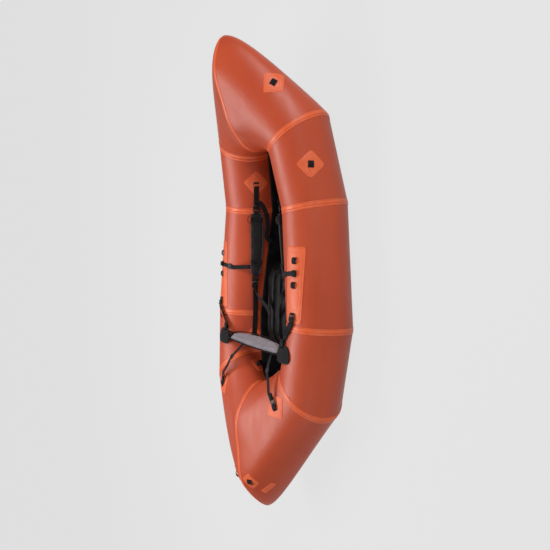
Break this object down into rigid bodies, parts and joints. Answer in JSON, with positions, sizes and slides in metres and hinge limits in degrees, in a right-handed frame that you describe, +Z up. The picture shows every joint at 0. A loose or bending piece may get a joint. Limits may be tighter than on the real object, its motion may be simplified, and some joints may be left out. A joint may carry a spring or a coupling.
{
  "type": "packraft",
  "caption": "Open packraft: welded fabric hull with upswept ends, floor, inflated seat, backband and padded thigh straps on patches with loops, rings and buckles.",
  "frame": {"origin": "on the ground, under the middle of the hull's length and width", "axes": "+X to the bow along the length, +Y to port, +Z up"},
  "size_m": [2.2762, 1.0104, 0.5311],
  "materials": {
    "hull_fabric": "satin coated fabric",
    "weld_tape": "satin coated tape",
    "floor_fabric": "coated heavy fabric",
    "seat_fabric": "satin coated fabric",
    "webbing": "woven webbing",
    "pad_fabric": "matte woven cloth over foam",
    "band_face": "matte woven cloth",
    "moulded_plastic": "moulded, satin",
    "steel_wire": "brushed wire"
  },
  "bodies": {
    "hull": {"bow_panel_p": "hull_fabric", "bow_panel_s": "hull_fabric", "stern_panel_p": "hull_fabric", "stern_panel_s": "hull_fabric", "tube_front_p": "hull_fabric", "tube_front_s": "hull_fabric", "tube_mid_p": "hull_fabric", "tube_mid_s": "hull_fabric", "tube_rear_p": "hull_fabric", "tube_rear_s": "hull_fabric", "bow_tape_p": "weld_tape", "bow_tape_s": "weld_tape", "stern_tape_p": "weld_tape", "stern_tape_s": "weld_tape", "bow_center_tape": "weld_tape", "stern_center_tape": "weld_tape", "floor_sheet": "floor_fabric", "deck_anchor_p": "weld_tape", "deck_anchor_s": "weld_tape", "front_anchor_p": "weld_tape", "front_anchor_s": "weld_tape", "tip_anchor_p": "weld_tape", "tip_anchor_s": "weld_tape", "stern_anchor_p": "weld_tape", "stern_anchor_s": "weld_tape", "side_patch_p": "weld_tape", "side_patch_s": "weld_tape", "thigh_anchor_p": "weld_tape", "thigh_anchor_s": "weld_tape", "thigh_rear_anchor_p": "weld_tape", "thigh_rear_anchor_s": "weld_tape", "thigh_front_web_p": "webbing", "thigh_front_web_s": "webbing", "thigh_rear_web_p": "webbing", "thigh_rear_web_s": "webbing", "thigh_side_strap_p": "webbing", "thigh_side_strap_s": "webbing", "band_front_strap_p": "webbing", "band_front_strap_s": "webbing", "band_rear_strap_p": "webbing", "band_rear_strap_s": "webbing", "seat_cushion": "seat_fabric", "seat_valve": "moulded_plastic", "valve_body": "moulded_plastic"},
    "thigh_swing_p": {"thigh_pad_p": "pad_fabric", "thigh_buckle_p": "moulded_plastic"},
    "thigh_swing_s": {"thigh_pad_s": "pad_fabric", "thigh_buckle_s": "moulded_plastic"},
    "ring_p": {"thigh_ring_p": "steel_wire"},
    "ring_s": {"thigh_ring_s": "steel_wire"},
    "band_lock_p": {"band_buckle_p": "moulded_plastic"},
    "band_lock_s": {"band_buckle_s": "moulded_plastic"},
    "hook_p": {"band_hook_p": "moulded_plastic"},
    "hook_s": {"band_hook_s": "moulded_plastic"},
    "backband": {"backband_pad": "seat_fabric", "backband_face": "band_face"},
    "plunger": {"valve_plunger": "moulded_plastic"},
    "cap": {"valve_cap": "moulded_plastic"},
    "seat_cap": {"seat_valve_cap": "moulded_plastic"}
  },
  "joints": [
    {"name": "thigh_pad_swing_s", "type": "hinge", "parent": "hull", "child": "thigh_swing_s", "pos_m": [0.47241, -0.12494, 0.26537], "axis": [0.9957, 0.0819, 0.0439], "range_deg": [0, 60], "deforming": ["thigh_front_web_s", "thigh_rear_web_s", "thigh_side_strap_s"]},
    {"name": "thigh_pad_swing_p", "type": "hinge", "parent": "hull", "child": "thigh_swing_p", "pos_m": [0.47241, 0.12494, 0.26537], "axis": [-0.9957, 0.0819, -0.0439], "range_deg": [0, 60], "deforming": ["thigh_front_web_p", "thigh_rear_web_p", "thigh_side_strap_p"]},
    {"name": "thigh_ring_turn_s", "type": "hinge", "parent": "hull", "child": "ring_s", "pos_m": [0.47391, -0.1259, 0.23311], "axis": [0.0133, 0.3422, -0.9395], "range_deg": [0, 40]},
    {"name": "thigh_ring_turn_p", "type": "hinge", "parent": "hull", "child": "ring_p", "pos_m": [0.47391, 0.1259, 0.23311], "axis": [-0.0133, 0.3422, 0.9395], "range_deg": [0, 40]},
    {"name": "band_buckle_tilt_s", "type": "hinge", "parent": "hull", "child": "band_lock_s", "pos_m": [-0.12181, -0.36228, 0.30717], "axis": [0, 0.9784, 0.2066], "range_deg": [0, 40], "deforming": ["band_front_strap_s"]},
    {"name": "band_buckle_tilt_p", "type": "hinge", "parent": "hull", "child": "band_lock_p", "pos_m": [-0.12181, 0.36228, 0.30717], "axis": [0, 0.9784, -0.2066], "range_deg": [0, 40], "deforming": ["band_front_strap_p"]},
    {"name": "band_hook_tilt_s", "type": "hinge", "parent": "hull", "child": "hook_s", "pos_m": [-0.56042, -0.27485, 0.33873], "axis": [0.4959, -0.8532, -0.1616], "range_deg": [0, 50], "deforming": ["band_rear_strap_s"]},
    {"name": "band_hook_tilt_p", "type": "hinge", "parent": "hull", "child": "hook_p", "pos_m": [-0.56042, 0.27485, 0.33873], "axis": [-0.4959, -0.8532, 0.1616], "range_deg": [0, 50], "deforming": ["band_rear_strap_p"]},
    {"name": "backband_tilt", "type": "hinge", "parent": "hull", "child": "backband", "pos_m": [-0.2748, 0, 0.31228], "axis": [0, 1, 0], "range_deg": [0, 30]},
    {"name": "valve_press", "type": "slide", "parent": "hull", "child": "plunger", "axis": [0.1151, -0.9774, -0.1773], "range_m": [0, 0.003], "stiffness_N_per_m": 250, "springref_m": -0.002},
    {"name": "valve_cap_turn", "type": "hinge", "parent": "hull", "child": "cap", "pos_m": [-0.37471, 0.47855, 0.18884], "axis": [-0.1151, 0.9774, 0.1773], "range_deg": [0, 90]},
    {"name": "seat_cap_turn", "type": "hinge", "parent": "hull", "child": "seat_cap", "pos_m": [-0.315, -0.096, 0.1326], "axis": [0, 0, 1], "range_deg": [0, 90]}
  ]
}
